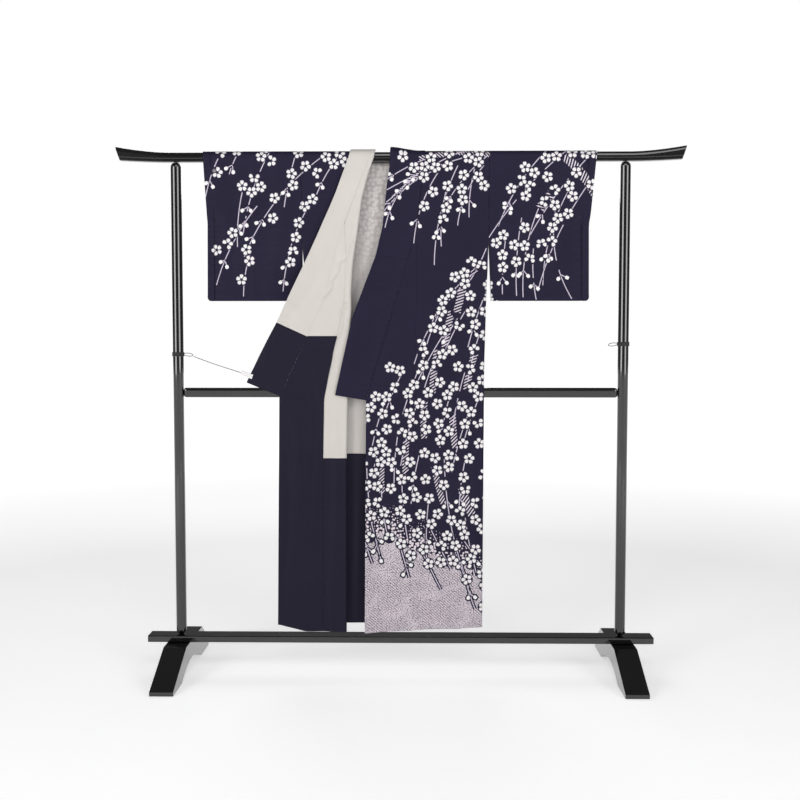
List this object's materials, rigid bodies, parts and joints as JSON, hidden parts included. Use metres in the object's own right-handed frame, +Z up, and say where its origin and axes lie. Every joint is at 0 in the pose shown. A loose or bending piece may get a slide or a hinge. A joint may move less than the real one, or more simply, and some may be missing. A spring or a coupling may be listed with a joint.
{
  "type": "silk kimono on a kimono stand",
  "caption": "Navy silk kimono with tie-dyed weeping plum, hung on a black lacquered kimono stand with its right front turned back.",
  "frame": {"origin": "centre of the stand's footprint on the floor", "axes": "+X along the rails towards the wearer's left sleeve, +Y from the fronts to the back, +Z up"},
  "size_m": [1.88, 0.56, 1.7535],
  "materials": {
    "navy_silk": "satin figured silk, navy with pale plum blossom and a grey-lilac hem ground",
    "navy_lining": "satin",
    "ivory_lining": "satin",
    "black_lacquer": "gloss black lacquer",
    "black_band": "matte",
    "dark_steel": "dark wire",
    "grey_cord": "matte",
    "white_clip": "satin"
  },
  "bodies": {
    "root": {"top_rail": "black_lacquer", "right_post": "black_lacquer", "left_post": "black_lacquer", "middle_rail": "black_lacquer", "base_rail": "black_lacquer", "right_foot": "black_lacquer", "left_foot": "black_lacquer", "right_post_band": "black_band", "left_post_band": "black_band", "right_post_hook": "dark_steel", "left_post_hook": "dark_steel", "tie_cord": "grey_cord", "tie_clip": "white_clip", "left_back": "navy_silk", "right_back": "navy_silk", "right_back_lining": "ivory_lining", "right_back_hem_lining": "navy_lining", "left_front": "navy_silk", "left_okumi": "navy_silk", "right_front": "navy_silk", "right_front_lining": "ivory_lining", "right_front_hem_lining": "navy_lining", "right_okumi": "navy_silk", "right_okumi_lining": "ivory_lining", "right_okumi_hem_lining": "navy_lining", "left_collar": "navy_silk", "left_over_collar": "navy_silk", "right_collar": "navy_silk", "right_over_collar": "navy_silk", "right_collar_lining": "ivory_lining", "right_collar_hem_lining": "navy_lining", "neck_collar": "navy_silk", "right_sleeve": "navy_silk", "right_sleeve_lining": "ivory_lining", "left_sleeve": "navy_silk", "left_sleeve_lining": "ivory_lining"}
  },
  "joints": []
}
